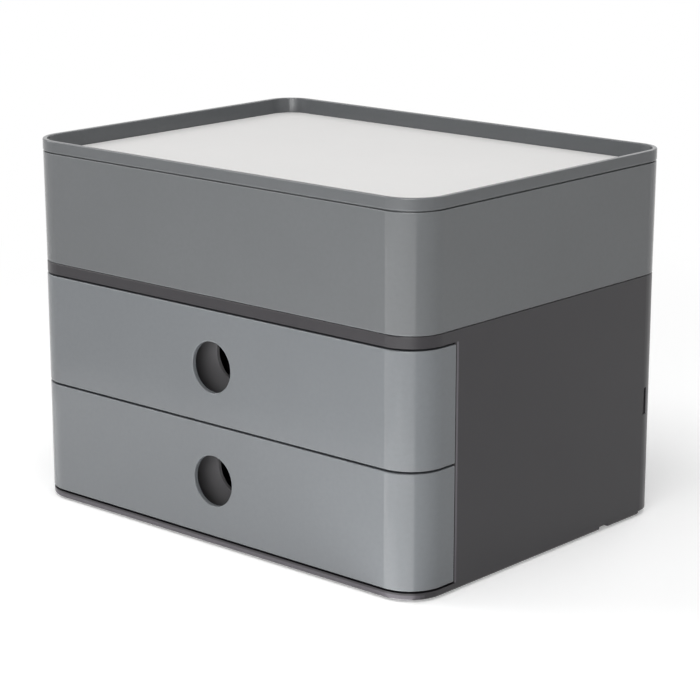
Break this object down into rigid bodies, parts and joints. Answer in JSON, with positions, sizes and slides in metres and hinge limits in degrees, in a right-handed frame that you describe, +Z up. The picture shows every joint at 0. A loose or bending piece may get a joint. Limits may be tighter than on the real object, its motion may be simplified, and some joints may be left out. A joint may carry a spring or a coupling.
{
  "type": "desktop drawer box",
  "caption": "Desktop storage box with wrap-round drawer fronts, finger holes, a lift-off utensil box with a divided insert, and a lid whose top is a tray.",
  "frame": {"origin": "middle of the footprint, on the table under the rubber feet", "axes": "+Z up; -Y is the front, where the drawers open; +X is the right-hand side seen from the front"},
  "size_m": [0.26, 0.195, 0.1897],
  "materials": {
    "cabinet_plastic": "fine matt texture",
    "tray_plastic": "fine matt texture",
    "front_plastic": "satin, fine texture",
    "box_plastic": "satin, fine texture",
    "lid_plastic": "satin, fine texture",
    "insert_plastic": "fine matt texture",
    "inlay_plastic": "smooth matt",
    "foot_rubber": "matt rubber"
  },
  "bodies": {
    "cabinet": {"cabinet_housing": "cabinet_plastic", "foot_front_left": "foot_rubber", "foot_front_right": "foot_rubber", "foot_rear_left": "foot_rubber", "foot_rear_right": "foot_rubber"},
    "lower_drawer": {"lower_drawer_tray": "tray_plastic", "lower_drawer_front": "front_plastic"},
    "upper_drawer": {"upper_drawer_tray": "tray_plastic", "upper_drawer_front": "front_plastic"},
    "utensil_box": {"utensil_box_shell": "box_plastic"},
    "organiser_insert": {"insert_floor": "insert_plastic", "insert_walls": "insert_plastic", "insert_divider_front": "insert_plastic", "insert_divider_left": "insert_plastic", "insert_divider_right": "insert_plastic", "insert_divider_cups": "insert_plastic"},
    "lid": {"lid_frame": "lid_plastic", "lid_inlay": "inlay_plastic"}
  },
  "joints": [
    {"name": "lower_drawer_slide", "type": "slide", "parent": "cabinet", "child": "lower_drawer", "axis": [0, -1, 0], "range_m": [0, 0.13]},
    {"name": "upper_drawer_slide", "type": "slide", "parent": "cabinet", "child": "upper_drawer", "axis": [0, -1, 0], "range_m": [0, 0.13]},
    {"name": "utensil_box_lift", "type": "slide", "parent": "cabinet", "child": "utensil_box", "axis": [0, 0, 1], "range_m": [0, 0.06]},
    {"name": "insert_lift", "type": "slide", "parent": "utensil_box", "child": "organiser_insert", "axis": [0, 0, 1], "range_m": [0, 0.017]},
    {"name": "lid_lift", "type": "slide", "parent": "utensil_box", "child": "lid", "axis": [0, 0, 1], "range_m": [0, 0.08]}
  ]
}
